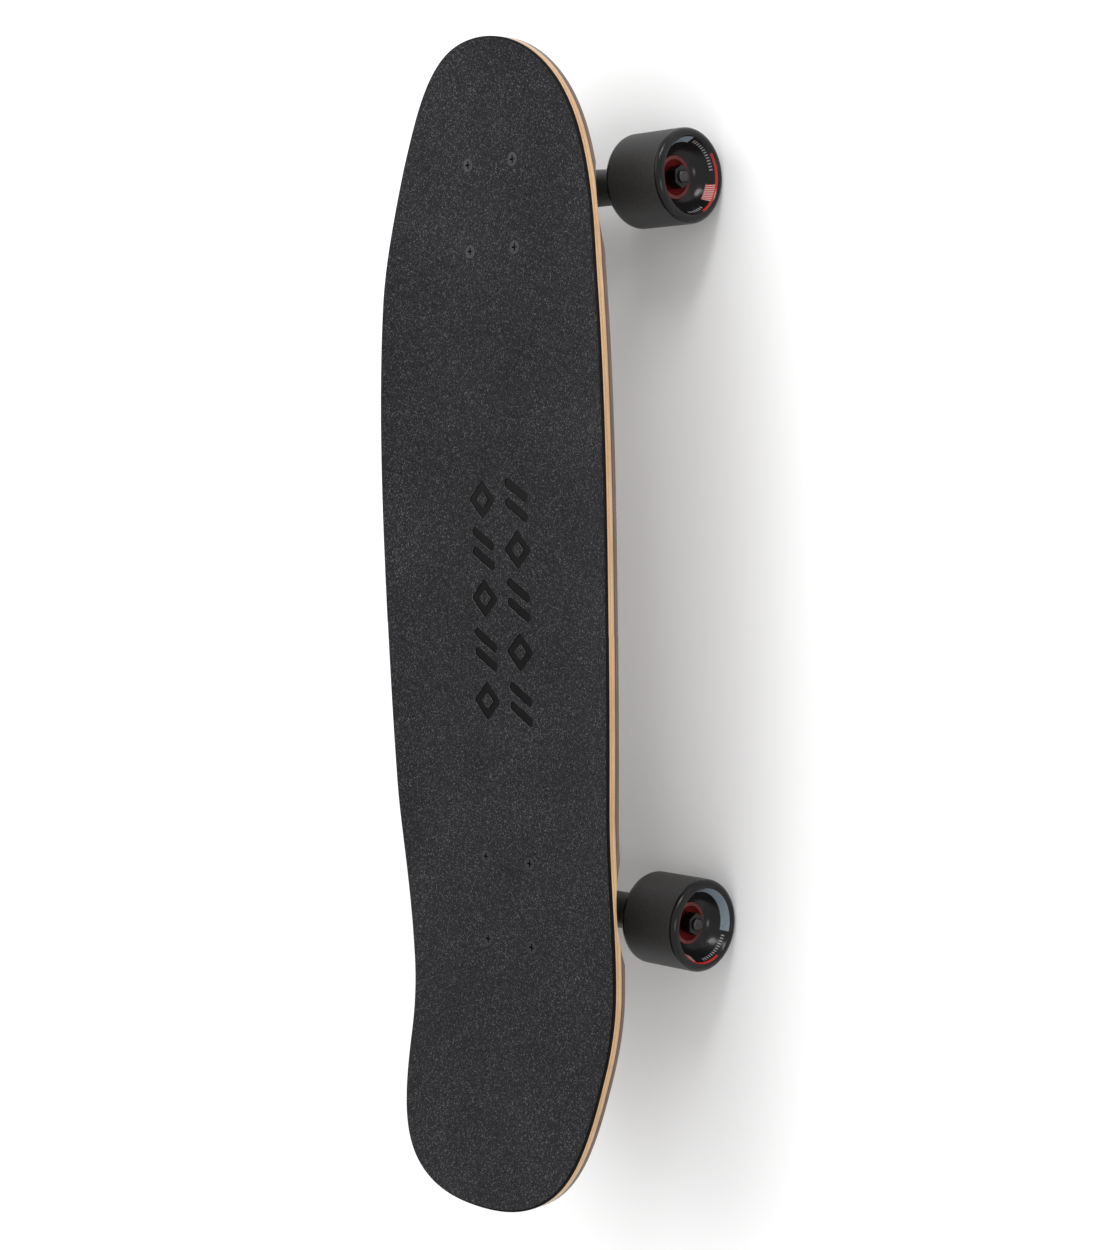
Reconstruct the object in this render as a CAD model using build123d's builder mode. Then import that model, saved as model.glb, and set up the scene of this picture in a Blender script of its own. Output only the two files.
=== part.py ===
from build123d import *
import math
import os

# A complete skateboard: a seven-ply deck with grip tape, two kingpin trucks on riser
# pads, and four cored wheels on ball bearings. Millimetres. +X runs to the nose, +Y to
# the left rail, +Z up. The wheels stand on z = 0 and the origin is below the middle of
# the deck.

# ---- deck ----
deck_length = 736.6
ply_pitch = 1.5          # veneer plus its glue line
ply_thickness = 1.46
ply_count = 7
grip_thickness = 0.8
grip_inset = 0.5         # the grip is filed back from the rail
grip_top = 102.0         # top of the grip between the truck bolts
concave_start = 35.0     # flat middle, half width
concave_end = 104.5
concave_power = 2.2
concave_depth = 10.0     # rail rise at mid length
concave_tail = 2.2       # rail rise left in the tail
concave_nose = 3.8       # rail rise left in the nose
tail_bend_start = -223.8
tail_bend_length = 50.0
tail_slope = 0.295
nose_bend_start = 306.2
nose_rise = 8.5
# half outline: (station, half width), tail tip to nose tip
outline = [
    (-368.3, 0.0), (-366.8, 23.9), (-360.8, 47.1), (-348.0, 67.2), (-335.4, 76.9),
    (-314.9, 84.9), (-275.4, 91.1), (-225.6, 94.9), (-165.6, 96.9), (-95.7, 100.2),
    (-25.8, 102.8), (44.2, 104.3), (114.2, 104.4), (174.2, 102.3), (224.0, 98.0),
    (273.1, 89.1), (311.1, 76.7), (337.3, 61.9), (349.1, 51.2), (357.6, 40.0),
    (363.0, 29.3), (367.0, 15.0), (368.3, 0.0),
]

# ---- truck bolt pattern, 2.125 in by 1.625 in ----
hole_x, hole_y = 53.98, 41.28
front_pattern_x = 264.9
rear_pattern_x = -176.5
bolt_r = 2.4
bolt_hole_r = 2.75
bolt_head_r = 4.4
bolt_head_h = 2.5
nut_flats = 9.4
nut_h = 5.0
riser_thickness = 6.0

# ---- truck, in its own frame: u outboard, z up from the top of the baseplate ----
plate_thickness = 6.0
axle_u, axle_z = 13.4, -55.2
kingpin_lean = 25.0
seat_u, seat_z = -13.0, -41.0      # middle of the hanger ring
pivot_u, pivot_z = 33.0, -20.0     # middle of the pivot ball
kingpin_r = 4.75
ring_half = 2.5
board_bushing = 14.0
road_bushing = 11.0
washer_t = 1.5
kingpin_nut_h = 6.5
pivot_r = 5.5
pivot_gap = 0.3
hanger_half = 65.0
axle_r = 3.95
axle_half = 98.8

# ---- wheels and bearings ----
wheel_r = 29.5
wheel_in, wheel_out = 57.0, 105.0
lip_r = 24.7
core_r = 13.48
core_in, core_out = 65.0, 90.7
bearing_ir, bearing_or, bearing_w = 4.0, 11.0, 7.0
bearing_1, bearing_2 = 65.85, 82.85   # inboard faces of the two bearings
ball_r, ball_pitch, ball_count = 1.95, 7.5, 7
washer_thin = 0.8
axle_nut_h = 6.0

os.makedirs("parts", exist_ok=True)

deck_bottom = grip_top - grip_thickness - ply_count * ply_pitch
base_top = deck_bottom - riser_thickness
bolt_points = [
    (x + i * hole_x / 2, j * hole_y / 2)
    for x in (front_pattern_x, rear_pattern_x)
    for i in (-1, 1)
    for j in (-1, 1)
]


def save(piece, name):
    piece.part.label = name
    export_step(piece.part, "parts/" + name + ".step")


def smooth(t):
    t = min(max(t, 0.0), 1.0)
    return t * t * (3 - 2 * t)


def deck_rise(x, y):
    """Height of the deck's skin above its flat middle: concave, kick and nose."""
    if x < 0:
        a = concave_tail + (concave_depth - 0.2 - concave_tail) * smooth((x + 221) / 115)
    else:
        a = concave_nose + (concave_depth - concave_nose) * smooth((309 - x) / 100)
    t = max(abs(y) - concave_start, 0.0) / (concave_end - concave_start)
    rise = a * t**concave_power
    d = tail_bend_start - x
    if d > 0:
        rise += tail_slope * (d * d / (2 * tail_bend_length) if d < tail_bend_length else d - tail_bend_length / 2)
    n = (x - nose_bend_start) / (deck_length / 2 - nose_bend_start)
    if n > 0:
        rise += nose_rise * n * n
    return rise


def skin(z):
    rows = [-112 + 224 * j / 16 for j in range(17)]
    cols = [-374 + 748 * i / 32 for i in range(33)]
    grid = [[Vector(x, y, z + deck_rise(x, y)) for x in cols] for y in rows]
    return Face.make_surface_from_array_of_points(grid, tol=0.1, min_deg=3, max_deg=3)


def deck_outline(inset=0.0):
    """The board's plan, one closed spline."""
    pts = []
    for i, (x, w) in enumerate(outline):
        if inset:
            a = outline[max(i - 1, 0)]
            b = outline[min(i + 1, len(outline) - 1)]
            if i == 0:
                nx, ny = -1.0, 0.0
            elif i == len(outline) - 1:
                nx, ny = 1.0, 0.0
            else:
                dx, dy = b[0] - a[0], b[1] - a[1]
                n = math.hypot(dx, dy)
                nx, ny = -dy / n, dx / n
            x, w = x - inset * nx, w - inset * ny
        pts.append((x, w))
    pts += [(x, -w) for x, w in pts[-2:0:-1]]
    return Spline(*pts, periodic=True)


surface = skin(0.0)


def slab(top, thickness):
    return extrude(surface.moved(Location((0, 0, top))), amount=thickness, dir=(0, 0, -1))


# wheel wells: shallow scallops milled across the lower rail above each wheel, stepped
# ply by ply: {ply: (half length along the rail, reach in from just outside the rail)}
well_sizes = {5: (17.0, 20.0), 6: (26.0, 31.0), 7: (33.0, 43.0)}
well_points = [(x, side * 107.0) for x in (254.0, -166.0) for side in (1, -1)]

# ---- deck plies, 1 on top to 7 underneath ----
for n in range(ply_count):
    ply_top = grip_top - grip_thickness - n * ply_pitch
    ply_slab = slab(ply_top, ply_thickness)
    with BuildPart() as deck_ply:
        with BuildSketch(Plane.XY.offset(70)):
            with BuildLine():
                deck_outline()
            make_face()
        extrude(amount=90)
        # the top ply is opened for the screw heads
        with BuildSketch(Plane.XY.offset(70)):
            with Locations(*bolt_points):
                Circle((bolt_head_r + 0.35, bolt_hole_r + 0.2)[n] if n < 2 else bolt_hole_r)
        extrude(amount=90, mode=Mode.SUBTRACT)
        if n + 1 in well_sizes:
            with BuildSketch(Plane.XY.offset(70)):
                with Locations(*well_points):
                    Ellipse(*well_sizes[n + 1])
            extrude(amount=90, mode=Mode.SUBTRACT)
        add(ply_slab, mode=Mode.INTERSECT)
    save(deck_ply, "deck_ply_%d" % (n + 1))

# ---- grip tape, with two rows of plain cut-out shapes down the middle ----
cut_rows = [81.0, 49.7, 18.0, -15.0, -48.0]
grip_slab = slab(grip_top, grip_thickness - 0.04)
with BuildPart() as grip_tape:
    with BuildSketch(Plane.XY.offset(70)):
        with BuildLine():
            deck_outline(grip_inset)
        make_face()
    extrude(amount=90)
    with BuildSketch(Plane.XY.offset(70)):
        with Locations(*bolt_points):
            Circle(bolt_head_r + 0.35)
        for k, x in enumerate(cut_rows):
            for column, y in ((0, 15.5), (1, -16.5)):
                if (k + column) % 2 == 0:
                    # diamond frame
                    with Locations((x, y)):
                        RectangleRounded(18.5, 18.5, 2.5, rotation=45)
                        RectangleRounded(7.5, 7.5, 1.2, rotation=45, mode=Mode.SUBTRACT)
                else:
                    # pair of slanted bars
                    with Locations((x + 6.2, y), (x - 6.2, y)):
                        SlotOverall(24, 6.4, rotation=60)
    extrude(amount=90, mode=Mode.SUBTRACT)
    add(grip_slab, mode=Mode.INTERSECT)
save(grip_tape, "grip_tape")

# ---- deck hardware: eight countersunk screws and their lock nuts ----
screw_bottom = base_top - plate_thickness - nut_h - 3.0
head_top = grip_top - 0.15
with BuildPart() as deck_bolts:
    with BuildSketch(Plane.XY.offset(screw_bottom)):
        with Locations(*bolt_points):
            Circle(bolt_r)
    extrude(amount=head_top - screw_bottom - 0.6)
    with Locations(*[(x, y, head_top - 0.4) for x, y in bolt_points]):
        Cone(bolt_r, bolt_head_r, bolt_head_h - 0.4, align=(Align.CENTER, Align.CENTER, Align.MAX))
    with BuildSketch(Plane.XY.offset(head_top - 0.4)):
        with Locations(*bolt_points):
            Circle(bolt_head_r)
    extrude(amount=0.4)
    # cross recess
    with BuildSketch(Plane.XY.offset(head_top - 1.6)):
        with Locations(*bolt_points):
            Rectangle(4.6, 1.1)
            Rectangle(1.1, 4.6)
    extrude(amount=2, mode=Mode.SUBTRACT)
save(deck_bolts, "deck_bolts")

with BuildPart() as deck_nuts:
    with BuildSketch(Plane.XY.offset(base_top - plate_thickness - nut_h)):
        with Locations(*bolt_points):
            RegularPolygon(nut_flats / 2, 6, major_radius=False)
            Circle(bolt_r + 0.02, mode=Mode.SUBTRACT)
    extrude(amount=nut_h)
save(deck_nuts, "deck_nuts")

# ---- truck pieces, modelled once in the truck's own frame ----
lean = math.radians(kingpin_lean)
kingpin_dir = Vector(math.sin(lean), 0, math.cos(lean))
seat = Vector(seat_u, 0, seat_z)
pivot = Vector(pivot_u, 0, pivot_z)
steer_dir = (pivot - seat).normalized()
plate_holes = [(i * hole_x / 2, j * hole_y / 2) for i in (-1, 1) for j in (-1, 1)]


def on_kingpin(t):
    """A plane square to the kingpin, t above the middle of the hanger ring."""
    return Plane(origin=seat + kingpin_dir * t, x_dir=(0, 1, 0), z_dir=kingpin_dir)


def on_steering(t):
    """A plane square to the steering axis, t outboard of the pivot ball."""
    return Plane(origin=pivot + steer_dir * t, x_dir=(0, 1, 0), z_dir=steer_dir)


seat_top = ring_half + board_bushing + washer_t + 0.2
head_seat = (-4.5 - seat_z) / math.cos(lean) - 6.0

with BuildPart() as riser_pad:
    with BuildSketch(Plane.XY):
        with Locations((4.0, 0)):
            RectangleRounded(82, 57, 8)
        with Locations(*plate_holes):
            Circle(bolt_hole_r, mode=Mode.SUBTRACT)
    extrude(amount=riser_thickness - 0.05)

with BuildPart() as baseplate:
    with BuildSketch(Plane.XY.offset(-plate_thickness)):
        with Locations((4.0, 0)):
            RectangleRounded(80, 56, 9)
    extrude(amount=plate_thickness)
    with BuildSketch(on_kingpin(seat_top)):
        Circle(13.5)
    extrude(amount=26, taper=-4)
    with BuildSketch(on_steering(-6.5)):
        Circle(11.5)
    extrude(amount=17.0)
    with BuildSketch(Plane.XY.offset(-pivot_z * -1.0)):
        with Locations((37.0, 0)):
            RectangleRounded(12, 22, 3)
    extrude(amount=-pivot_z)
    # ribs from the pivot housing to the kingpin boss and out to the corners
    with BuildSketch(Plane.XY.offset(-14.5)):
        with Locations((12, 0)):
            Rectangle(30, 7)
    extrude(amount=14.5)
    with BuildSketch(Plane.XY.offset(-10.5)):
        with Locations((33, 0)):
            Rectangle(9, 46)
    extrude(amount=10.5)
    split(bisect_by=Plane.XY, keep=Keep.BOTTOM)
    with BuildSketch(on_kingpin(0)):
        Circle(kingpin_r + 0.05)
    extrude(amount=70, mode=Mode.SUBTRACT)
    with BuildSketch(on_kingpin(head_seat)):
        Circle(8.6)
    extrude(amount=30, mode=Mode.SUBTRACT)
    with BuildSketch(on_steering(-7.0)):
        Circle(8.6)
    extrude(amount=14.0, mode=Mode.SUBTRACT)
    with BuildSketch(Plane.XY.offset(-40)):
        with Locations(*plate_holes):
            Circle(bolt_hole_r)
    extrude(amount=60, mode=Mode.SUBTRACT)
    # spot faces that clear the lock nuts
    with BuildSketch(Plane.XY.offset(-30)):
        with Locations(*plate_holes):
            Circle(6.4)
    extrude(amount=30 - plate_thickness, mode=Mode.SUBTRACT)

# profile plane of the steering axis: local X along the axis outboard, local Y up
steer_plane = Plane(origin=pivot, x_dir=steer_dir, z_dir=(0, -1, 0))
with BuildPart() as pivot_cup:
    with BuildSketch(steer_plane):
        with BuildLine():
            r = pivot_r + pivot_gap
            Polyline((-6.9, 8.5), (6.9, 8.5), (6.9, 0), (r, 0))
            RadiusArc((r, 0), (0, r), -r)
            Polyline((0, r), (-6.9, r), (-6.9, 8.5))
        make_face()
    revolve(axis=Axis(pivot, steer_dir))

with BuildPart() as kingpin:
    with BuildSketch(on_kingpin(-ring_half - road_bushing - washer_t - kingpin_nut_h - 2.7)):
        Circle(kingpin_r)
    extrude(amount=head_seat + ring_half + road_bushing + washer_t + kingpin_nut_h + 2.7)
    with BuildSketch(on_kingpin(head_seat)):
        RegularPolygon(7.1, 6, major_radius=False)
    extrude(amount=6.0)
    chamfer(kingpin.faces().sort_by(Axis(seat, kingpin_dir))[0].edges(), 0.8)

with BuildPart() as kingpin_nut:
    with BuildSketch(on_kingpin(-ring_half - 0.2 - road_bushing - washer_t - kingpin_nut_h)):
        RegularPolygon(7.1, 6, major_radius=False)
        Circle(kingpin_r + 0.02, mode=Mode.SUBTRACT)
    extrude(amount=kingpin_nut_h)

with BuildPart() as bushing_washers:
    # cup washer under the boss, flat washer above the nut
    for t0 in (ring_half + 0.1 + board_bushing, -ring_half - 0.1 - road_bushing - washer_t):
        with BuildSketch(on_kingpin(t0)):
            Circle(12.2)
            Circle(kingpin_r + 0.3, mode=Mode.SUBTRACT)
        extrude(amount=washer_t)

with BuildPart() as board_side_bushing:
    with BuildSketch(on_kingpin(ring_half + 0.1)):
        Circle(11.0)
        Circle(kingpin_r + 0.15, mode=Mode.SUBTRACT)
    extrude(amount=board_bushing)

with BuildPart() as road_side_bushing:
    with BuildSketch(on_kingpin(-ring_half - 0.1)):
        Circle(11.0)
    with BuildSketch(on_kingpin(-ring_half - 0.1 - road_bushing)):
        Circle(8.6)
    loft()
    with BuildSketch(on_kingpin(-ring_half - 20)):
        Circle(kingpin_r + 0.15)
    extrude(amount=30, mode=Mode.SUBTRACT)

# hanger: lofted casting, barrel, bushing ring and pivot nose
mid_section = [(1, -50), (1.5, -58), (6, -64), (13, -65.5), (20, -63), (24, -54), (24.5, -43), (23.5, -34), (18.5, -29.5), (13, -31.5), (7.5, -38), (3.5, -44)]
end_section = [(0, -53.5), (2, -59), (6.5, -63), (13.4, -64.5), (20, -61.5), (22.4, -55.5), (21.5, -50), (18, -46.5), (13.4, -45.3), (8.5, -45.8), (4, -47.5), (1, -50)]
with BuildPart() as hanger:
    for side in (1, -1):
        with BuildSketch(Plane.XZ):
            with BuildLine():
                Spline(*mid_section, periodic=True)
            make_face()
        with BuildSketch(Plane.XZ.offset(side * 52)):
            with BuildLine():
                Spline(*end_section, periodic=True)
            make_face()
        loft()
    with BuildSketch(Plane(origin=(axle_u, 0, axle_z), x_dir=(1, 0, 0), z_dir=(0, 1, 0))):
        Circle(9.3)
    extrude(amount=58, both=True)
    for side in (1, -1):
        with BuildSketch(Plane(origin=(axle_u, side * 58, axle_z), x_dir=(1, 0, 0), z_dir=(0, side, 0))):
            Circle(9.3)
        with BuildSketch(Plane(origin=(axle_u, side * hanger_half, axle_z), x_dir=(1, 0, 0), z_dir=(0, side, 0))):
            Circle(7.4)
        loft()
    # bushing ring with its web to the casting
    with BuildSketch(on_kingpin(-ring_half)):
        Circle(15.5)
        with Locations((0, -12)):
            Rectangle(26, 24)
    extrude(amount=2 * ring_half)
    # pivot nose
    with BuildSketch(steer_plane):
        with BuildLine():
            Polyline((-18.5, 0), (-18.5, 8.0), (-9.0, pivot_r), (0, pivot_r))
            RadiusArc((0, pivot_r), (pivot_r, 0), pivot_r)
            Line((pivot_r, 0), (-18.5, 0))
        make_face()
    revolve(axis=Axis(pivot, steer_dir))
    with BuildSketch(on_kingpin(-ring_half - 10)):
        Circle(7.4)
    extrude(amount=40, mode=Mode.SUBTRACT)
    with BuildSketch(Plane(origin=(axle_u, 0, axle_z), x_dir=(1, 0, 0), z_dir=(0, 1, 0))):
        Circle(axle_r + 0.02)
    extrude(amount=80, both=True, mode=Mode.SUBTRACT)

axle_plane = Plane(origin=(axle_u, 0, axle_z), x_dir=(1, 0, 0), z_dir=(0, 1, 0))


def across(y, side):
    """A plane square to the axle at |y|, facing away from the board's centreline."""
    return Plane(origin=(axle_u, side * y, axle_z), x_dir=(1, 0, 0), z_dir=(0, side, 0))


with BuildPart() as axle:
    with BuildSketch(axle_plane):
        Circle(axle_r)
    extrude(amount=axle_half, both=True)
    chamfer(axle.edges().filter_by(GeomType.CIRCLE), 0.8)

nut_in = bearing_2 + bearing_w + washer_thin + 0.1
with BuildPart() as axle_nuts:
    for side in (1, -1):
        with BuildSketch(across(nut_in, side)):
            RegularPolygon(6.35, 6, major_radius=False)
            Circle(axle_r + 0.02, mode=Mode.SUBTRACT)
        extrude(amount=axle_nut_h)

with BuildPart() as speed_washers:
    for side in (1, -1):
        for y in (hanger_half, bearing_2 + bearing_w + 0.05):
            with BuildSketch(across(y, side)):
                Circle(5.6)
                Circle(axle_r + 0.1, mode=Mode.SUBTRACT)
            extrude(amount=washer_thin)

with BuildPart() as bearing_spacers:
    for side in (1, -1):
        with BuildSketch(across(bearing_1 + bearing_w, side)):
            Circle(5.3)
            Circle(axle_r + 0.15, mode=Mode.SUBTRACT)
        extrude(amount=bearing_2 - bearing_1 - bearing_w)


def radial(side):
    """Profile plane of a wheel: local X is the radius, local Y runs away from the board."""
    return Plane(origin=(axle_u, 0, axle_z), x_dir=(1, 0, 0), z_dir=(0, 0, side))


wheel_axis = Axis((axle_u, 0, axle_z), (0, 1, 0))

with BuildPart() as bearing_inner_rings:
    for side in (1, -1):
        with BuildSketch(radial(side)):
            for y in (bearing_1, bearing_2):
                with Locations(((bearing_ir + 5.95) / 2, y + bearing_w / 2)):
                    Rectangle(5.95 - bearing_ir, bearing_w)
                with Locations((ball_pitch, y + bearing_w / 2)):
                    Circle(ball_r + 0.07, mode=Mode.SUBTRACT)
        revolve(axis=wheel_axis)

truck_pieces = {
    "riser_pad": riser_pad,
    "baseplate": baseplate,
    "pivot_cup": pivot_cup,
    "kingpin": kingpin,
    "kingpin_nut": kingpin_nut,
    "bushing_washers": bushing_washers,
    "board_side_bushing": board_side_bushing,
    "road_side_bushing": road_side_bushing,
    "hanger": hanger,
    "axle": axle,
    "axle_nuts": axle_nuts,
    "speed_washers": speed_washers,
    "bearing_spacers": bearing_spacers,
    "bearing_inner_rings": bearing_inner_rings,
}
trucks = {"front": (front_pattern_x, 0), "rear": (rear_pattern_x, 180)}
for end, (x, turn) in trucks.items():
    for name, piece in truck_pieces.items():
        with BuildPart() as placed:
            with Locations(Location((x, 0, base_top), (0, 0, turn))):
                add(piece.part)
        save(placed, end + "_" + name)

# ---- wheel pieces, modelled once as a left-hand wheel about the axle line ----
with BuildPart() as tyre:
    with BuildSketch(radial(1)):
        with BuildLine():
            Polyline(
                (core_r + 0.02, core_in + 0.6), (core_r + 0.02, core_out - 0.6),
                (16.0, core_out + 0.9), (22.2, wheel_out - 4.4), (lip_r, wheel_out),
                (wheel_r, wheel_out), (wheel_r, wheel_in), (lip_r, wheel_in),
                (22.6, wheel_in + 2.8), (16.0, core_in - 0.8), (core_r + 0.02, core_in + 0.6),
            )
        outer = make_face()
        fillet(outer.vertices().filter_by_position(Axis.X, wheel_r - 0.1, wheel_r + 0.1), 4.2)
    revolve(axis=wheel_axis)

with BuildPart() as core:
    with BuildSketch(radial(1)):
        with Locations(((11.04 + core_r) / 2, (core_in + core_out) / 2)):
            Rectangle(core_r - 11.04, core_out - core_in)
        with Locations(((9.3 + 11.5) / 2, (bearing_1 + bearing_2 + bearing_w) / 2)):
            Rectangle(11.5 - 9.3, bearing_2 - bearing_1 - bearing_w - 0.02)
    revolve(axis=wheel_axis)

with BuildPart() as bearing_outer_rings:
    with BuildSketch(radial(1)):
        for y in (bearing_1, bearing_2):
            with Locations(((9.1 + bearing_or) / 2, y + bearing_w / 2)):
                Rectangle(bearing_or - 9.1, bearing_w)
            with Locations((ball_pitch, y + bearing_w / 2)):
                Circle(ball_r + 0.07, mode=Mode.SUBTRACT)
    revolve(axis=wheel_axis)

with BuildPart() as bearing_balls:
    for y in (bearing_1, bearing_2):
        points = [
            (
                axle_u + ball_pitch * math.cos(2 * math.pi * k / ball_count),
                y + bearing_w / 2,
                axle_z + ball_pitch * math.sin(2 * math.pi * k / ball_count),
            )
            for k in range(ball_count)
        ]
        with Locations(*points):
            Sphere(ball_r)

with BuildPart() as bearing_shields:
    for y in (bearing_1 + 0.3, bearing_1 + bearing_w - 0.6, bearing_2 + 0.3, bearing_2 + bearing_w - 0.6):
        with BuildSketch(across(y, 1)):
            Circle(9.08)
            Circle(6.25, mode=Mode.SUBTRACT)
        extrude(amount=0.3)

wheel_pieces = {
    "tyre": tyre,
    "wheel_core": core,
    "bearing_outer_rings": bearing_outer_rings,
    "bearing_balls": bearing_balls,
    "bearing_shields": bearing_shields,
}
for end, (x, turn) in trucks.items():
    ax = x + (axle_u if turn == 0 else -axle_u)
    for hand, spin in (("left", 0), ("right", 180)):
        for name, piece in wheel_pieces.items():
            with BuildPart() as placed:
                with Locations(Location((ax, 0, base_top + axle_z), (0, 0, spin))):
                    add(piece.part.moved(Location((-axle_u, 0, -axle_z))))
            save(placed, "%s_%s_%s" % (end, hand, name))
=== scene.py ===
import math

import bpy
import numpy as np
from mathutils import Matrix, Vector


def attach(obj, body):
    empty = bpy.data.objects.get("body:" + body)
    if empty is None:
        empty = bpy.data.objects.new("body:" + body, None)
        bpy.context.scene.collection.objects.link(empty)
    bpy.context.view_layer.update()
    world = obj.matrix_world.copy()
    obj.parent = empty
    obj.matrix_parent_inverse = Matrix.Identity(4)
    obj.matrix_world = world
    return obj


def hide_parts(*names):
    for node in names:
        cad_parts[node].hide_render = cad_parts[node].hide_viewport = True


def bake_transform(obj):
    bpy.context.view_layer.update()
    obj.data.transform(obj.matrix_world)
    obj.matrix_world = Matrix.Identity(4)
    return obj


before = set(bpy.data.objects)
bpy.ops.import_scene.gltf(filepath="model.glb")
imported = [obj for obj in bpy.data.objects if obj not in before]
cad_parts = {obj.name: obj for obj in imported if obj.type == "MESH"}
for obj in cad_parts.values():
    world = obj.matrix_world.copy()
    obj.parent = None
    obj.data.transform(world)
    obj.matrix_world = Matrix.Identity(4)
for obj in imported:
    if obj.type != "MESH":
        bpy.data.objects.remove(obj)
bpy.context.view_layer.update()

MM = 0.001

# ------------------------------------------------------------------ dimensions, mm
LENGTH = 736.6
TOP = 101.2            # deck skin between the truck bolts
PLY = 1.5
PLIES = 7
OUTLINE = [
    (-368.3, 0.0), (-366.8, 23.9), (-360.8, 47.1), (-348.0, 67.2), (-335.4, 76.9),
    (-314.9, 84.9), (-275.4, 91.1), (-225.6, 94.9), (-165.6, 96.9), (-95.7, 100.2),
    (-25.8, 102.8), (44.2, 104.3), (114.2, 104.4), (174.2, 102.3), (224.0, 98.0),
    (273.1, 89.1), (311.1, 76.7), (337.3, 61.9), (349.1, 51.2), (357.6, 40.0),
    (363.0, 29.3), (367.0, 15.0), (368.3, 0.0),
]
PATTERN = {"front": (264.9, 1), "rear": (-176.5, -1)}
BASE_TOP = 84.7
AXLE_U, AXLE_Z = 13.4, -55.2
CORE_R = 13.48
BOLTS = [(x + i * 26.99, j * 20.64) for x, _ in PATTERN.values() for i in (-1, 1) for j in (-1, 1)]


# ------------------------------------------------------------------ materials
def mat(name):
    m = bpy.data.materials.new(name)
    m.use_nodes = True
    nt = m.node_tree
    b = nt.nodes["Principled BSDF"]
    return m, nt, b


def node(nt, kind, **kw):
    n = nt.nodes.new(kind)
    for k, v in kw.items():
        if k.startswith("i_"):
            n.inputs[k[2:].replace("_", " ")].default_value = v
        else:
            setattr(n, k, v)
    return n


def math_n(nt, op, a, b=None, c=None, clamp=False):
    n = nt.nodes.new("ShaderNodeMath")
    n.operation = op
    n.use_clamp = clamp
    for i, v in enumerate((a, b, c)):
        if v is None:
            continue
        if isinstance(v, (int, float)):
            n.inputs[i].default_value = v
        else:
            nt.links.new(v, n.inputs[i])
    return n.outputs[0]


def ramp(nt, fac, stops):
    n = nt.nodes.new("ShaderNodeValToRGB")
    e = n.color_ramp.elements
    while len(e) < len(stops):
        e.new(0.5)
    for el, (p, c) in zip(e, stops):
        el.position = p
        el.color = (*c, 1) if len(c) == 3 else c
    nt.links.new(fac, n.inputs[0])
    return n.outputs[0]


def mix(nt, fac, a, b):
    n = nt.nodes.new("ShaderNodeMix")
    n.data_type = "RGBA"
    for key, v in ((0, fac), (6, a), (7, b)):
        if isinstance(v, (int, float)):
            n.inputs[key].default_value = v
        elif isinstance(v, tuple):
            n.inputs[key].default_value = (*v, 1)
        else:
            nt.links.new(v, n.inputs[key])
    return n.outputs[2]


def coords(nt, scale=(1, 1, 1)):
    tc = nt.nodes.new("ShaderNodeTexCoord")
    mp = nt.nodes.new("ShaderNodeMapping")
    mp.inputs["Scale"].default_value = scale
    nt.links.new(tc.outputs["Object"], mp.inputs["Vector"])
    return mp.outputs[0]


def noise(nt, vec, scale, detail=3, rough=0.55):
    n = nt.nodes.new("ShaderNodeTexNoise")
    n.inputs["Scale"].default_value = scale
    n.inputs["Detail"].default_value = detail
    n.inputs["Roughness"].default_value = rough
    nt.links.new(vec, n.inputs["Vector"])
    return n.outputs[0]


def voronoi(nt, vec, scale, feature="F1", out=0):
    n = nt.nodes.new("ShaderNodeTexVoronoi")
    n.feature = feature
    n.inputs["Scale"].default_value = scale
    nt.links.new(vec, n.inputs["Vector"])
    return n.outputs[out]


def bump(nt, b, height, strength, distance):
    n = nt.nodes.new("ShaderNodeBump")
    n.inputs["Strength"].default_value = strength
    n.inputs["Distance"].default_value = distance
    nt.links.new(height, n.inputs["Height"])
    nt.links.new(n.outputs[0], b.inputs["Normal"])


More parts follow.
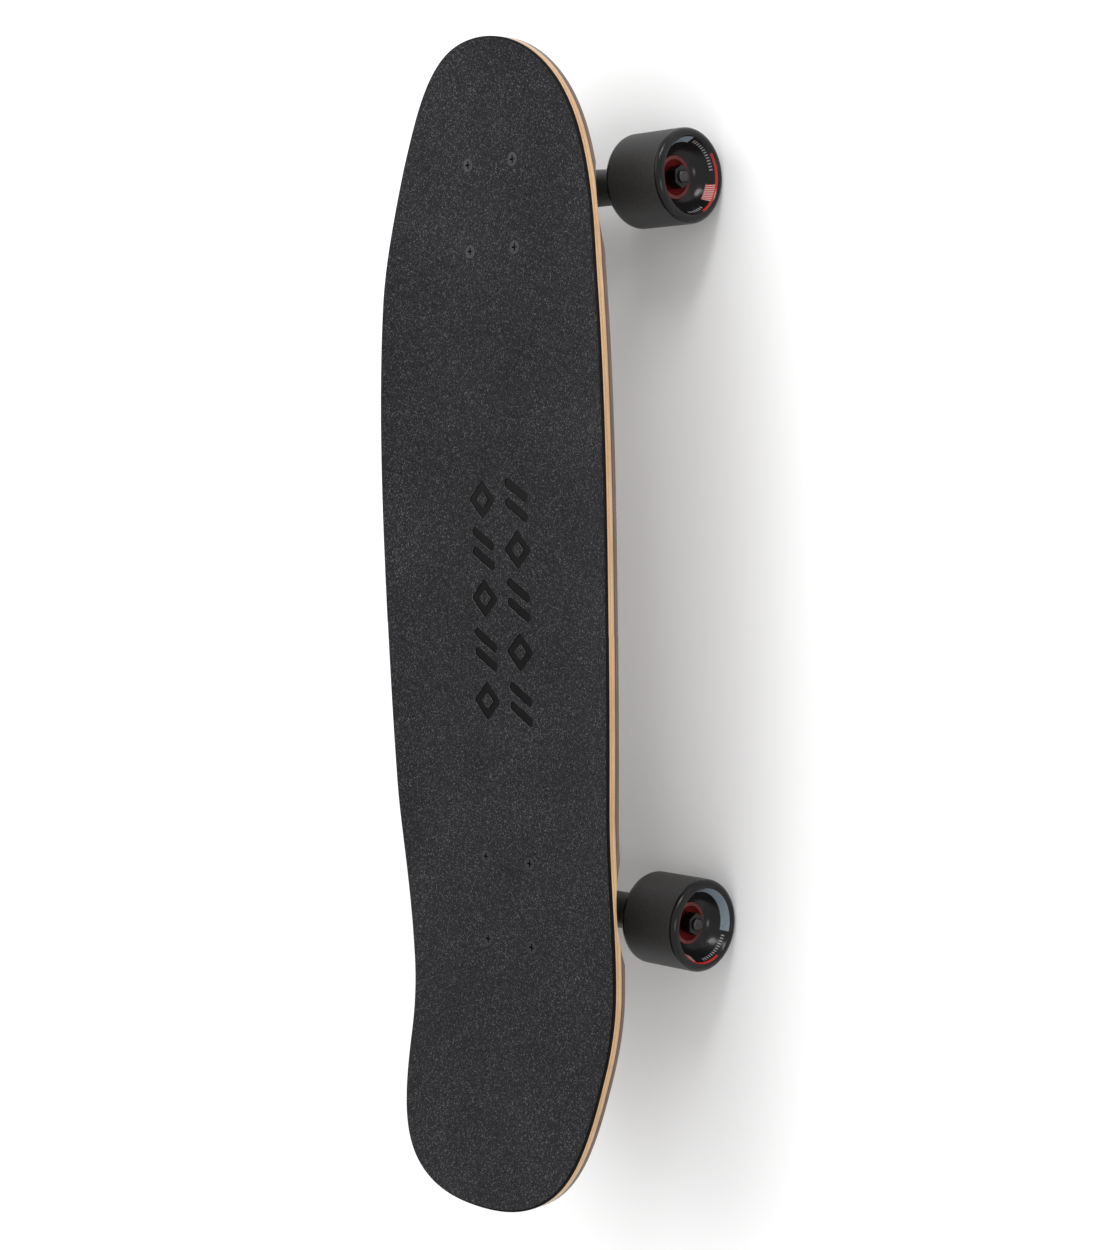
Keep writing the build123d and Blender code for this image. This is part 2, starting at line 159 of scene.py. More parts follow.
def grip_material():
    m, nt, b = mat("grip_grit")
    v = coords(nt)
    cell = nt.nodes.new("ShaderNodeTexVoronoi")
    cell.inputs["Scale"].default_value = 1700
    nt.links.new(v, cell.inputs["Vector"])
    sep = nt.nodes.new("ShaderNodeSeparateColor")
    nt.links.new(cell.outputs["Color"], sep.inputs[0])
    grain = ramp(nt, sep.outputs[0], [(0.0, (0.007, 0.0070, 0.0078)), (0.55, (0.0145, 0.0145, 0.0160)), (0.88, (0.029, 0.029, 0.032)), (1.0, (0.095, 0.096, 0.104))])
    broad = noise(nt, v, 14, 4)
    dust = noise(nt, v, 260, 4, 0.7)
    tint = ramp(nt, broad, [(0.3, (0.80, 0.80, 0.80)), (0.7, (1.15, 1.15, 1.16))])
    mul = nt.nodes.new("ShaderNodeMix")
    mul.data_type = "RGBA"
    mul.blend_type = "MULTIPLY"
    mul.inputs[0].default_value = 1
    nt.links.new(grain, mul.inputs[6])
    nt.links.new(tint, mul.inputs[7])
    # the filed edge shows pale backing
    geo = nt.nodes.new("ShaderNodeNewGeometry")
    sepn = nt.nodes.new("ShaderNodeSeparateXYZ")
    nt.links.new(geo.outputs["Normal"], sepn.inputs[0])
    side = math_n(nt, "SUBTRACT", 1.0, math_n(nt, "ABSOLUTE", sepn.outputs[2]))
    side = math_n(nt, "MULTIPLY", math_n(nt, "SUBTRACT", side, 0.45), 3.0, clamp=True)
    scuff = ramp(nt, dust, [(0.38, (0.030, 0.030, 0.031)), (0.66, (0.15, 0.145, 0.14))])
    col = mix(nt, side, mul.outputs[2], scuff)
    nt.links.new(col, b.inputs["Base Color"])
    rg = ramp(nt, dust, [(0.3, (0.78,) * 3), (0.7, (0.96,) * 3)])
    nt.links.new(rg, b.inputs["Roughness"])
    b.inputs["Specular IOR Level"].default_value = 0.15
    bump(nt, b, cell.outputs[0], 0.75, 0.0004)
    return m


def lacquer_black():
    m, nt, b = mat("black_dyed_ply")
    v = coords(nt, (1, 9, 9))
    g = noise(nt, v, 90, 5, 0.6)
    nt.links.new(ramp(nt, g, [(0.3, (0.0020, 0.0020, 0.0022)), (0.7, (0.0048, 0.0048, 0.0053))]), b.inputs["Base Color"])
    v2 = coords(nt)
    s = noise(nt, v2, 420, 4, 0.7)
    nt.links.new(ramp(nt, s, [(0.35, (0.13,) * 3), (0.75, (0.30,) * 3)]), b.inputs["Roughness"])
    b.inputs["Specular IOR Level"].default_value = 0.06
    b.inputs["Coat Weight"].default_value = 0.0
    b.inputs["Coat Roughness"].default_value = 0.08
    bump(nt, b, g, 0.08, 0.0003)
    return m


def wood(name, dark, light, rough=0.38, coat=0.25, turn=False):
    """Rotary-cut maple: long fibres along the board, or across it on a turned ply."""
    m, nt, b = mat(name)
    v = coords(nt, (30, 1, 6) if turn else (1, 22, 22))
    fibre = noise(nt, v, 34, 6, 0.62)
    v2 = coords(nt, (1, 5, 5))
    band = noise(nt, v2, 16, 3)
    pores = noise(nt, coords(nt, (2, 40, 40)), 120, 3, 0.7)
    mixf = math_n(nt, "MULTIPLY_ADD", fibre, 0.62, math_n(nt, "MULTIPLY", band, 0.38))
    col = ramp(nt, mixf, [(0.30, dark), (0.52, tuple((a + c) / 2 for a, c in zip(dark, light))), (0.70, light)])
    spot = ramp(nt, pores, [(0.26, (0.55, 0.50, 0.45)), (0.40, (1, 1, 1))])
    mul = nt.nodes.new("ShaderNodeMix")
    mul.data_type = "RGBA"
    mul.blend_type = "MULTIPLY"
    mul.inputs[0].default_value = 0.7
    nt.links.new(col, mul.inputs[6])
    nt.links.new(spot, mul.inputs[7])
    nt.links.new(mul.outputs[2], b.inputs["Base Color"])
    nt.links.new(ramp(nt, fibre, [(0.3, (rough - 0.08,) * 3), (0.7, (rough + 0.12,) * 3)]), b.inputs["Roughness"])
    b.inputs["Coat Weight"].default_value = coat
    b.inputs["Coat Roughness"].default_value = 0.2
    bump(nt, b, pores, 0.12, 0.0002)
    return m


def casting(name, base, rough=0.5):
    """Powder-coated cast metal, rubbed paler in broad random patches."""
    m, nt, b = mat(name)
    v = coords(nt)
    fine = noise(nt, v, 900, 4, 0.6)
    broad = noise(nt, v, 45, 4)
    nt.links.new(ramp(nt, broad, [(0.3, tuple(c * 0.75 for c in base)), (0.72, tuple(c * 1.5 for c in base))]), b.inputs["Base Color"])
    nt.links.new(ramp(nt, fine, [(0.3, (rough - 0.08,) * 3), (0.7, (rough + 0.12,) * 3)]), b.inputs["Roughness"])
    bump(nt, b, fine, 0.22, 0.0003)
    return m


def metal(name, base, rough=0.28, scale=(1, 1, 1)):
    m, nt, b = mat(name)
    v = coords(nt, scale)
    fine = noise(nt, v, 700, 4, 0.65)
    broad = noise(nt, v, 60, 3)
    b.inputs["Metallic"].default_value = 1
    nt.links.new(ramp(nt, broad, [(0.3, tuple(c * 0.72 for c in base)), (0.7, base)]), b.inputs["Base Color"])
    nt.links.new(ramp(nt, fine, [(0.3, (rough - 0.1,) * 3), (0.7, (rough + 0.14,) * 3)]), b.inputs["Roughness"])
    bump(nt, b, fine, 0.1, 0.0002)
    return m


def rubber(name, base, rough=0.55):
    m, nt, b = mat(name)
    v = coords(nt)
    fine = noise(nt, v, 650, 4, 0.6)
    nt.links.new(ramp(nt, noise(nt, v, 70, 3), [(0.3, tuple(c * 0.8 for c in base)), (0.7, tuple(c * 1.25 for c in base))]), b.inputs["Base Color"])
    nt.links.new(ramp(nt, fine, [(0.3, (rough - 0.1,) * 3), (0.7, (rough + 0.12,) * 3)]), b.inputs["Roughness"])
    b.inputs["Specular IOR Level"].default_value = 0.4
    bump(nt, b, fine, 0.15, 0.0002)
    return m


def between(nt, x, lo, hi, soft):
    a = math_n(nt, "MULTIPLY", math_n(nt, "SUBTRACT", x, lo - soft / 2), 1 / soft, clamp=True)
    b = math_n(nt, "MULTIPLY", math_n(nt, "SUBTRACT", hi + soft / 2, x), 1 / soft, clamp=True)
    return math_n(nt, "MULTIPLY", a, b)


def tyre_material(name, turn):
    """Cast urethane: satin tread, glossier lips, and a plain printed ring of arcs and ticks."""
    m, nt, b = mat(name)
    uvn = nt.nodes.new("ShaderNodeUVMap")
    uvn.uv_map = "UVMap"
    sep = nt.nodes.new("ShaderNodeSeparateXYZ")
    nt.links.new(uvn.outputs[0], sep.inputs[0])
    ang = math_n(nt, "FRACT", math_n(nt, "SUBTRACT", turn, sep.outputs[0]))
    rad = sep.outputs[1]          # radius on the outer face, mm; negative elsewhere
    v = coords(nt)
    fine = noise(nt, v, 500, 5, 0.65)
    broad = noise(nt, v, 60, 4)
    base = ramp(nt, broad, [(0.3, (0.0045, 0.0043, 0.0043)), (0.7, (0.008, 0.0078, 0.0078))])
    tread = between(nt, rad, -3.0, -1.0, 0.2)
    base = mix(nt, tread, base, ramp(nt, fine, [(0.3, (0.026, 0.0250, 0.0248)), (0.7, (0.038, 0.0365, 0.036))]))
    wear = math_n(nt, "MULTIPLY", ramp(nt, noise(nt, v, 900, 3, 0.7), [(0.34, (0.55,) * 3), (0.46, (1, 1, 1))]), 1.0)
    arc = math_n(nt, "MULTIPLY", between(nt, ang, 0.004, 0.40, 0.004), between(nt, rad, 20.9, 23.7, 0.15))
    base = mix(nt, math_n(nt, "MULTIPLY", arc, wear), base, (0.17, 0.205, 0.235))
    # thin red lines beside the lip, and a plain striped block
    red = math_n(nt, "MULTIPLY", between(nt, ang, 0.52, 0.80, 0.003), between(nt, rad, 23.3, 24.1, 0.12))
    base = mix(nt, red, base, (0.36, 0.020, 0.016))
    stripe = math_n(nt, "FRACT", math_n(nt, "MULTIPLY_ADD", ang, 110.0, math_n(nt, "MULTIPLY", rad, 0.22)))
    block = math_n(nt, "MULTIPLY", between(nt, ang, 0.655, 0.735, 0.003), between(nt, rad, 20.4, 23.4, 0.15))
    base = mix(nt, block, base, (0.36, 0.030, 0.028))
    base = mix(nt, math_n(nt, "MULTIPLY", block, between(nt, stripe, 0.25, 0.62, 0.08)), base, (0.55, 0.42, 0.42))
    # ticks
    step = math_n(nt, "FRACT", math_n(nt, "MULTIPLY", ang, 72.0))
    run = math_n(nt, "MAXIMUM", between(nt, ang, 0.42, 0.60, 0.002), between(nt, ang, 0.775, 0.87, 0.002))
    tick = math_n(nt, "MULTIPLY", between(nt, step, 0.28, 0.66, 0.06), between(nt, rad, 21.7, 22.7, 0.12))
    tick = math_n(nt, "MULTIPLY", tick, run)
    base = mix(nt, math_n(nt, "MULTIPLY", tick, wear), base, (0.26, 0.27, 0.28))
    nt.links.new(base, b.inputs["Base Color"])
    b.inputs["Specular IOR Level"].default_value = 0.22
    rg = math_n(nt, "MULTIPLY_ADD", tread, 0.36, math_n(nt, "MULTIPLY_ADD", fine, 0.10, 0.13))
    nt.links.new(rg, b.inputs["Roughness"])
    bump(nt, b, fine, 0.16, 0.0003)
    return m


GRIP = grip_material()
BLACK = lacquer_black()
WOODS = [
    wood("maple_a", (0.368, 0.2, 0.084), (0.624, 0.4056, 0.2106)),
    wood("maple_b", (0.32, 0.168, 0.0704), (0.5148, 0.312, 0.1482), turn=True),
    wood("maple_c", (0.384, 0.216, 0.092), (0.6396, 0.4212, 0.2184)),
    wood("maple_d", (0.344, 0.184, 0.076), (0.5772, 0.3666, 0.1833)),
]
DARK = wood("dark_dyed_ply", (0.030, 0.018, 0.014), (0.075, 0.045, 0.034))
# bottom plies: wood coloured a darker, greyer brown than the maple plies above
BROWN = wood("brown_bottom_ply", (0.0527, 0.0298, 0.0198), (0.1488, 0.0961, 0.067), rough=0.42)
CAST = casting("black_powder_coat", (0.022, 0.022, 0.023))
ZINC = metal("zinc_plate", (0.62, 0.60, 0.55))
STEEL = metal("polished_steel", (0.68, 0.68, 0.68), 0.22)
# near-black steel for the bearing inner rings: painted shade, the steel darkened for the shade deep in the wheel
# bowl
SHADED_RING_STEEL = metal("ring_steel_painted_shade", (0.10, 0.10, 0.105), 0.3)
AXLE = metal("axle_steel", (0.075, 0.072, 0.070), 0.26)
# dark red of the real bearing shields, also put on the steel bearing outer rings as painted shade
RED_SHIELD_AND_SHADED_RING = metal("red_shield_and_shaded_ring", (0.105, 0.008, 0.007), 0.42)
SCREW = metal("black_oxide", (0.045, 0.045, 0.048), 0.42)
SHIELD = casting("black_shield", (0.016, 0.016, 0.017), 0.45)
PAD = rubber("riser_rubber", (0.028, 0.028, 0.028))
BUSH = rubber("bushing_urethane", (0.030, 0.030, 0.032), 0.38)
CUP = rubber("pivot_cup_urethane", (0.05, 0.05, 0.05))
COREM = rubber("red_core", (0.105, 0.012, 0.012), 0.36)


# ------------------------------------------------------------------ mesh helpers
def new_mesh(name, verts, faces, material, smooth=30, uvs=None):
    me = bpy.data.meshes.new(name)
    me.from_pydata([tuple(v) for v in verts], [], faces)
    me.update()
    if uvs is not None:
        layer = me.uv_layers.new(name="UVMap")
        layer.data.foreach_set("uv", np.array(uvs, np.float32).ravel())
    me.materials.append(material)
    me.polygons.foreach_set("use_smooth", [True] * len(me.polygons))
    me.set_sharp_from_angle(angle=math.radians(smooth))
    ob = bpy.data.objects.new(name, me)
    bpy.context.collection.objects.link(ob)
    return ob


def lathe(name, profile, centre, axis, xdir, material, seg=144, uv_r=None, smooth=30):
    """Closed ring: profile is a closed list of (radius, along axis) in mm."""
    axis = Vector(axis).normalized()
    xd = Vector(xdir).normalized()
    yd = axis.cross(xd)
    c = Vector(centre)
    n = len(profile)
    verts = []
    for k in range(seg):
        a = 2 * math.pi * k / seg
        d = xd * math.cos(a) + yd * math.sin(a)
        for r, t in profile:
            verts.append((c + d * r + axis * t) * MM)
    faces, uvs = [], []
    for k in range(seg):
        k2 = (k + 1) % seg
        for i in range(n):
            j = (i + 1) % n
            faces.append((k * n + i, k * n + j, k2 * n + j, k2 * n + i))
            if uv_r:
                u0, u1 = k / seg, (k + 1) / seg
                va, vb = uv_r[i]
                uvs += [(u0, va), (u0, vb), (u1, vb), (u1, va)]
    ob = new_mesh(name, verts, faces, material, smooth, uvs if uv_r else None)
    return ob


def arc(cx, cy, r, a0, a1, n=8):
    return [(cx + r * math.cos(math.radians(a0 + (a1 - a0) * i / n)), cy + r * math.sin(math.radians(a0 + (a1 - a0) * i / n))) for i in range(n + 1)]


def smooth_step(t):
    t = np.clip(t, 0, 1)
    return t * t * (3 - 2 * t)


def rise(x, y):
    x, y = np.asarray(x, float), np.asarray(y, float)
    a = np.where(x < 0, 2.2 + 7.6 * smooth_step((x + 221) / 115), 3.8 + 6.2 * smooth_step((309 - x) / 100))
    t = np.maximum(np.abs(y) - 35.0, 0) / 69.5
    z = a * t**2.2
    d = -223.8 - x
    z = z + np.where(d > 0, 0.295 * np.where(d < 50, d * d / 100, d - 25), 0)
    n = np.maximum((x - 306.2) / (LENGTH / 2 - 306.2), 0)
    return z + 8.5 * n * n


def spline(points, dense=2400):
    """Clamped parametric cubic through the half outline, square to the centreline at both tips."""
    p = np.array(points, float)
    h = np.hypot(*np.diff(p, axis=0).T)
    t = np.concatenate([[0], np.cumsum(h)])
    n = len(p)
    out = []
    for dim, (d0, d1) in enumerate(((0, 0), (1, -1))):
        A = np.zeros((n, n))
        r = np.zeros(n)
        A[0, 0] = A[-1, -1] = 1
        r[0], r[-1] = d0, d1
        for i in range(1, n - 1):
            A[i, i - 1], A[i, i], A[i, i + 1] = 1 / h[i - 1], 2 * (1 / h[i - 1] + 1 / h[i]), 1 / h[i]
            r[i] = 3 * ((p[i, dim] - p[i - 1, dim]) / h[i - 1] ** 2 + (p[i + 1, dim] - p[i, dim]) / h[i] ** 2)
        m = np.linalg.solve(A, r)
        s = np.linspace(0, t[-1], dense)
        k = np.clip(np.searchsorted(t, s, side="right") - 1, 0, n - 2)
        u = (s - t[k]) / h[k]
        out.append((2 * u**3 - 3 * u**2 + 1) * p[k, dim] + (u**3 - 2 * u**2 + u) * h[k] * m[k] + (-2 * u**3 + 3 * u**2) * p[k + 1, dim] + (u**3 - u**2) * h[k] * m[k + 1])
    return np.stack(out, 1)


HALF_N = 300
half = spline(OUTLINE)
length = np.concatenate([[0], np.cumsum(np.hypot(*np.diff(half, axis=0).T))])
even = np.linspace(0, length[-1], HALF_N + 1)
half = np.stack([np.interp(even, length, half[:, 0]), np.interp(even, length, half[:, 1])], 1)
half[0, 1] = half[-1, 1] = 0
ring = np.concatenate([half, half[1:-1][::-1] * [1, -1]])
tangent = np.roll(ring, -1, 0) - np.roll(ring, 1, 0)
tangent /= np.hypot(*tangent.T)[:, None]
normal = np.stack([-tangent[:, 1], tangent[:, 0]], 1)
THICK = PLY * PLIES


def edge_inset(d):
    """How far the rounded rail steps in at a depth d below the deck's skin."""
    top, low = 1.2, 1.0
    e = 0.0
    if d < top:
        e = top - math.sqrt(max(top * top - (top - d) ** 2, 0))
    if d > THICK - low:
        e = low - math.sqrt(max(low * low - (d - THICK + low) ** 2, 0))
    return e


def board_layer(name, d0, d1, material, samples=4, filed=None):
    spine = np.stack([ring[:, 0] * 0.93, ring[:, 1] * 0], 1)
    loops = []
    fr = [0.0, 0.14, 0.28, 0.42, 0.55, 0.66, 0.75, 0.82, 0.88, 0.925, 0.96, 0.985]

    def at(inset, d, f=1.0):
        if filed is not None:
            inset = filed + max(0.0, (-d - 0.3)) * 0.7
        e = ring - normal * inset
        p = spine + (e - spine) * f
        z = TOP + rise(p[:, 0], p[:, 1]) - d
        return np.concatenate([p, z[:, None]], 1)

    for f in fr:
        loops.append(at(edge_inset(d0), d0, f))
    for i in range(samples + 1):
        d = d0 + (d1 - d0) * i / samples
        loops.append(at(edge_inset(d), d))
    for f in fr[::-1]:
        loops.append(at(edge_inset(d1), d1, f))
    n = len(ring)
    verts = np.concatenate(loops) * MM
    faces = []
    for k in range(len(loops) - 1):
        a, b = k * n, (k + 1) * n
        for i in range(n):
            j = (i + 1) % n
            faces.append((a + i, b + i, b + j, a + j))
    import bmesh
    me = bpy.data.meshes.new(name)
    me.from_pydata(verts.tolist(), [], faces)
    bm = bmesh.new()
    bm.from_mesh(me)
    bmesh.ops.remove_doubles(bm, verts=bm.verts, dist=1e-6)
    bmesh.ops.recalc_face_normals(bm, faces=bm.faces)
    bm.to_mesh(me)
    bm.free()
    me.materials.append(material)
    ob = bpy.data.objects.new(name, me)
    bpy.context.collection.objects.link(ob)
    return ob


def rod(centre, axis, radius, length_, seg=40):
    axis = Vector(axis).normalized()
    xd = axis.orthogonal().normalized()
    yd = axis.cross(xd)
    c = Vector(centre)
    v, f = [], []
    for t in (-length_ / 2, length_ / 2):
        for k in range(seg):
            a = 2 * math.pi * k / seg
            v.append((c + axis * t + (xd * math.cos(a) + yd * math.sin(a)) * radius) * MM)
    for k in range(seg):
        k2 = (k + 1) % seg
        f.append((k, k2, seg + k2, seg + k))
    f.append(tuple(range(seg))[::-1])
    f.append(tuple(range(seg, 2 * seg)))
    return v, f


def cutter(name, rods):
    v, f = [], []
    for c, a, r, l, s in rods:
        vv, ff = rod(c, a, r, l, s)
        f += [tuple(i + len(v) for i in face) for face in ff]
        v += vv
    me = bpy.data.meshes.new(name)
    me.from_pydata([tuple(p) for p in v], [], f)
    ob = bpy.data.objects.new(name, me)
    bpy.context.collection.objects.link(ob)
    return ob


# ------------------------------------------------------------------ deck
holes = [((x, y, 98), (0, 0, 1), 2.75, 60, 32) for x, y in BOLTS]
tilt = math.radians(14.5)
wells = []
for x in (254.0, -166.0):
    for side in (1, -1):
        wells.append(((x, side * (79 + math.sin(tilt) * 114), 96.2 - math.cos(tilt) * 114), (0, side * math.cos(tilt), math.sin(tilt)), 114.0, 90, 240))
cut_holes = cutter("cut_holes", holes)
cut_both = cutter("cut_both", holes + wells)
LAYERS = [0.0, 2.0, 3.15, 4.3, 5.45, 6.6, 7.7, 10.5]
ply_mats = [BLACK, *WOODS, DARK, BROWN]
for i in range(PLIES):
    ob = board_layer("veneer_%d" % (i + 1), LAYERS[i], LAYERS[i + 1] - 0.01, ply_mats[i])
    mod = ob.modifiers.new("cut", "BOOLEAN")
    mod.operation = "DIFFERENCE"
    mod.solver = "EXACT"
    mod.object = cut_both if i > 2 else cut_holes
    dg = bpy.context.evaluated_depsgraph_get()
    me = bpy.data.meshes.new_from_object(ob.evaluated_get(dg))
    ob.modifiers.clear()
    ob.data = me
    me.materials.clear()
    me.materials.append(ply_mats[i])
    me.polygons.foreach_set("use_smooth", [True] * len(me.polygons))
    me.set_sharp_from_angle(angle=math.radians(38))
    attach(ob, "board")
    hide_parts("deck_ply_%d" % (i + 1))
for c in (cut_holes, cut_both):
    bpy.data.objects.remove(c)

# ------------------------------------------------------------------ grip sheet with its die-cut shapes
def rounded_square(cx, cy, side, r, turn, n=10):
    h = side / 2 - r
    pts = []
    for q, (sx, sy) in enumerate(((1, 1), (-1, 1), (-1, -1), (1, -1))):
        pts += arc(sx * h, sy * h, r, 90 * q, 90 * q + 90, n)
    c, t = math.cos(math.radians(turn)), math.sin(math.radians(turn))
    return [(cx + x * c - y * t, cy + x * t + y * c) for x, y in pts]


def capsule(cx, cy, over, width, turn, n=14):
    h, r = (over - width) / 2, width / 2
    pts = arc(h, 0, r, -90, 90, n) + arc(-h, 0, r, 90, 270, n)
    c, t = math.cos(math.radians(turn)), math.sin(math.radians(turn))
    return [(cx + x * c - y * t, cy + x * t + y * c) for x, y in pts]


gv, gf = [], []


def prism(loop, hole=None):
    o, n = len(gv), len(loop)
    for z in (96.0, 108.0):
        gv.extend((x * MM, y * MM, z * MM) for x, y in loop)
    for i in range(n):
        j = (i + 1) % n
        gf.append((o + i, o + j, o + n + j, o + n + i))
    if hole is None:
        gf.append(tuple(range(o, o + n))[::-1])
        gf.append(tuple(range(o + n, o + 2 * n)))
        return
    p = len(gv)
    for z in (96.0, 108.0):
        gv.extend((x * MM, y * MM, z * MM) for x, y in hole)
    for i in range(n):
        j = (i + 1) % n
        gf.append((p + j, p + i, p + n + i, p + n + j))
        gf.append((o + j, o + i, p + i, p + j))
        gf.append((o + n + i, o + n + j, p + n + j, p + n + i))


for x, y in BOLTS:
    prism(arc(x, y, 4.75, 0, 352.5, 47))
for k, x in enumerate((81.0, 49.7, 18.0, -15.0, -48.0)):
    for column, y in ((0, 15.5), (1, -16.5)):
        if (k + column) % 2 == 0:
            prism(rounded_square(x, y, 18.5, 2.5, 45), rounded_square(x, y, 7.5, 1.2, 45))
        else:
            prism(capsule(x + 6.2, y, 24, 6.4, 60))
            prism(capsule(x - 6.2, y, 24, 6.4, 60))
gm = bpy.data.meshes.new("cut_grip")
gm.from_pydata(gv, [], gf)
cut_grip = bpy.data.objects.new("cut_grip", gm)
bpy.context.collection.objects.link(cut_grip)
grip = board_layer("grip_sheet", -0.78, -0.03, GRIP, 3, filed=1.4)
mod = grip.modifiers.new("cut", "BOOLEAN")
mod.operation = "DIFFERENCE"
mod.solver = "EXACT"
mod.object = cut_grip
dg = bpy.context.evaluated_depsgraph_get()
me = bpy.data.meshes.new_from_object(grip.evaluated_get(dg))
grip.modifiers.clear()
grip.data = me
me.materials.clear()
me.materials.append(GRIP)
me.polygons.foreach_set("use_smooth", [True] * len(me.polygons))
me.set_sharp_from_angle(angle=math.radians(30))
bpy.data.objects.remove(cut_grip)
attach(grip, "board")
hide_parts("grip_tape")

# ------------------------------------------------------------------ wheels
bowl = [(24.3, 104.55), (23.6, 103.3), (22.6, 101.4), (21.3, 98.9), (19.6, 95.9), (17.8, 93.3), (16.2, 91.7), (14.8, 90.9)]
inner_bowl = [(15.0, 64.3), (16.6, 63.7), (18.8, 62.4), (20.9, 60.9), (22.6, 59.4), (23.8, 58.0), (24.4, 57.35)]
profile = [(CORE_R + 0.02, 90.2)] + bowl[::-1] + [(24.75, 104.9), (25.3, 105.0)]
profile += arc(25.3, 100.8, 4.2, 90, 0, 10)[1:]
tread_start = len(profile) - 1
profile += [(29.5, 96.0), (29.5, 90.0), (29.5, 84.0), (29.5, 78.0), (29.5, 72.0), (29.5, 66.0)]
tread_end = len(profile)
profile += arc(25.3, 61.2, 4.2, 0, -90, 10)
profile += [(24.85, 57.1)] + inner_bowl[::-1] + [(CORE_R + 0.02, 64.9), (CORE_R + 0.02, 77.0)]
uv_r = []
for i in range(len(profile)):
    j = (i + 1) % len(profile)
    if i <= tread_start - 1 and i < 12:
        uv_r.append((profile[i][0], profile[j][0]))
    elif tread_start <= i < tread_end:
        uv_r.append((-2.0, -2.0))
    else:
        uv_r.append((-9.0, -9.0))
core_profile = [(11.04, 65.0), (11.04, 72.9), (9.3, 72.95), (9.3, 82.7), (11.04, 82.75), (11.04, 90.5), (11.25, 90.7), (13.25, 90.7), (CORE_R, 90.45), (CORE_R, 65.2), (13.3, 65.0)]
TURNS = {("front", "right"): 0.875, ("rear", "right"): 0.60, ("front", "left"): 0.35, ("rear", "left"): 0.1}
for end, (px, s) in PATTERN.items():
    cx, cz = px + s * AXLE_U, BASE_TOP + AXLE_Z
    for hand, side in (("left", 1), ("right", -1)):
        body = "%s_%s_wheel" % (end, hand)
        tm = tyre_material("urethane_%s_%s" % (end, hand), TURNS[(end, hand)])
        t = lathe("tyre_%s_%s" % (end, hand), profile, (cx, 0, cz), (0, side, 0), (side, 0, 0), tm, 160, uv_r)
        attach(t, body)
        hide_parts("%s_%s_tyre" % (end, hand))
        c = lathe("core_%s_%s" % (end, hand), core_profile, (cx, 0, cz), (0, side, 0), (side, 0, 0), COREM, 96)
        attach(c, body)
        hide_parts("%s_%s_wheel_core" % (end, hand))

# ------------------------------------------------------------------ bushings: soft, between the board's kingpin and the hanger
lean = math.radians(25)
for end, (px, s) in PATTERN.items():
    kd = Vector((s * math.sin(lean), 0, math.cos(lean)))
    seat = Vector((px + s * -13.0, 0, BASE_TOP - 41.0))
    for kind, t0, t1, r0, r1, bulge in (("board_side", 2.6, 16.6, 11.0, 11.0, 0.0), ("road_side", -2.6, -13.6, 11.0, 8.6, 0.0)):
        prof = []
        m = 10
        for i in range(m + 1):
            f = i / m
            r = r0 + (r1 - r0) * f
            edge = min(f, 1 - f) * abs(t1 - t0)
            if edge < 1.2:
                r -= 1.2 - math.sqrt(max(1.44 - (1.2 - edge) ** 2, 0))
            if kind == "board_side":
                r -= 0.9 * math.exp(-((f - 0.5) / 0.12) ** 2)
            prof.append((r, t0 + (t1 - t0) * f))
        prof += [(4.9, t1), (4.9, (t0 + t1) / 2), (4.9, t0)]
        if t1 < t0:
            prof = prof[::-1]
        b_ = lathe("bushing_%s_%s" % (end, kind), prof, seat, kd, (0, 1, 0), BUSH, 72)
        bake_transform(b_)
        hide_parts("%s_%s_bushing" % (end, kind))

# ------------------------------------------------------------------ carried-over CAD pieces
finish = {
    "deck_bolts": SCREW, "deck_nuts": ZINC, "riser_pad": PAD, "baseplate": CAST, "pivot_cup": CUP,
    "kingpin": ZINC, "kingpin_nut": ZINC, "bushing_washers": ZINC, "hanger": CAST, "axle": AXLE, "axle_nuts": SCREW,
    # bearing inner rings near-black steel and outer rings the dark red shield finish: painted shade on steel rings
    # that sit in the shaded wheel bowl
    "speed_washers": SCREW, "bearing_spacers": STEEL, "bearing_inner_rings": SHADED_RING_STEEL, "bearing_outer_rings": RED_SHIELD_AND_SHADED_RING,
    "bearing_balls": STEEL, "bearing_shields": RED_SHIELD_AND_SHADED_RING,
}
for name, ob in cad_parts.items():
    key = name
    for pre in ("front_left_", "front_right_", "rear_left_", "rear_right_", "front_", "rear_"):
        if key.startswith(pre):
            key = key[len(pre):]
            break
    if key in finish:
        for sl in ob.material_slots:
            sl.link = "DATA"
            sl.material = finish[key]
        if key in ("baseplate", "hanger", "axle_nuts", "kingpin_nut", "kingpin", "deck_nuts", "riser_pad"):
            bv = ob.modifiers.new("soft_edges", "BEVEL")
            bv.width = 0.0008 if key == "baseplate" else 0.0004
            bv.segments = 3
            bv.limit_method = "ANGLE"
            bv.angle_limit = math.radians(40)
            bv.harden_normals = False

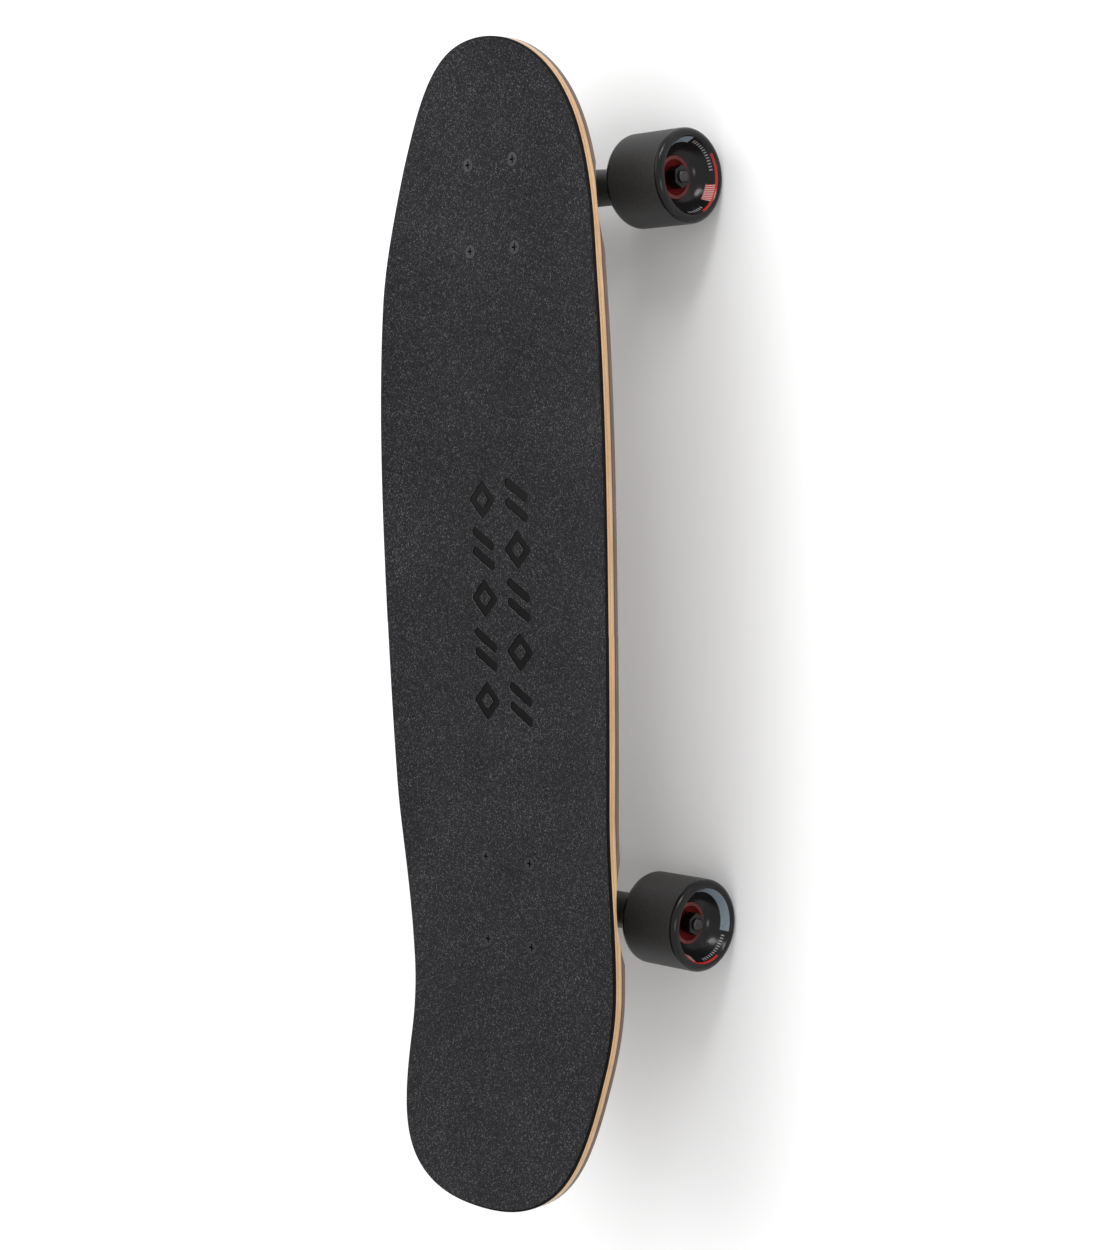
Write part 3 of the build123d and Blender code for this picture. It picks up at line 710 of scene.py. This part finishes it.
# ------------------------------------------------------------------ floor, light, camera
n = 24
fv, ff = [], []
for i in range(n + 1):
    for j in range(n + 1):
        fv.append((-6 + 12 * i / n, -6 + 12 * j / n, 0.0))
for i in range(n):
    for j in range(n):
        a = i * (n + 1) + j
        ff.append((a, a + n + 1, a + n + 2, a + 1))
fm, fnt, fb = mat("pale_floor")
fb.inputs["Base Color"].default_value = (0.90, 0.90, 0.90, 1)
fb.inputs["Roughness"].default_value = 0.75
fb.inputs["Specular IOR Level"].default_value = 0.2
floor = new_mesh("floor", fv, ff, fm)


def softbox(name, place, target, size, power, colour=(1, 1, 1)):
    d = bpy.data.lights.new(name, "AREA")
    d.shape = "RECTANGLE"
    d.size, d.size_y = size
    d.energy = power
    d.color = colour
    o = bpy.data.objects.new(name, d)
    o.location = place
    o.rotation_euler = (Vector(target) - Vector(place)).to_track_quat("-Z", "Y").to_euler()
    bpy.context.collection.objects.link(o)
    return o


softbox("key", (1.0, 1.3, 2.1), (0, 0, 0.05), (2.6, 2.6), 32)
softbox("edge", (1.9, -0.95, 1.15), (0.2, -0.1, 0.1), (0.5, 0.9), 16)
softbox("side", (-0.2, -2.0, 1.0), (0, 0, 0.05), (0.5, 0.5), 5)
world = bpy.data.worlds.new("studio")
world.use_nodes = True
world.node_tree.nodes["Background"].inputs[0].default_value = (1, 1, 1, 1)
world.node_tree.nodes["Background"].inputs[1].default_value = 0.98
bpy.context.scene.world = world
bpy.context.scene.view_settings.view_transform = "Standard"

ra = Vector((1.78183151, -1.75937561, -0.84145092))
R = Matrix.Rotation(ra.length, 3, ra.normalized())
tv = Vector((-37.8712812, -42.4694051, 1514.84693))
cam_d = bpy.data.cameras.new("camera")
cam_d.sensor_width = 36
cam_d.lens = 2391.05 / 1250 * 36
cam = bpy.data.objects.new("camera", cam_d)
M = (R.transposed() @ Matrix(((1, 0, 0), (0, -1, 0), (0, 0, -1)))).to_4x4()
M.translation = (-(R.transposed() @ tv) + Vector((44.2, 0, 102.0))) * MM
cam.matrix_world = M
bpy.context.collection.objects.link(cam)
bpy.context.scene.camera = cam
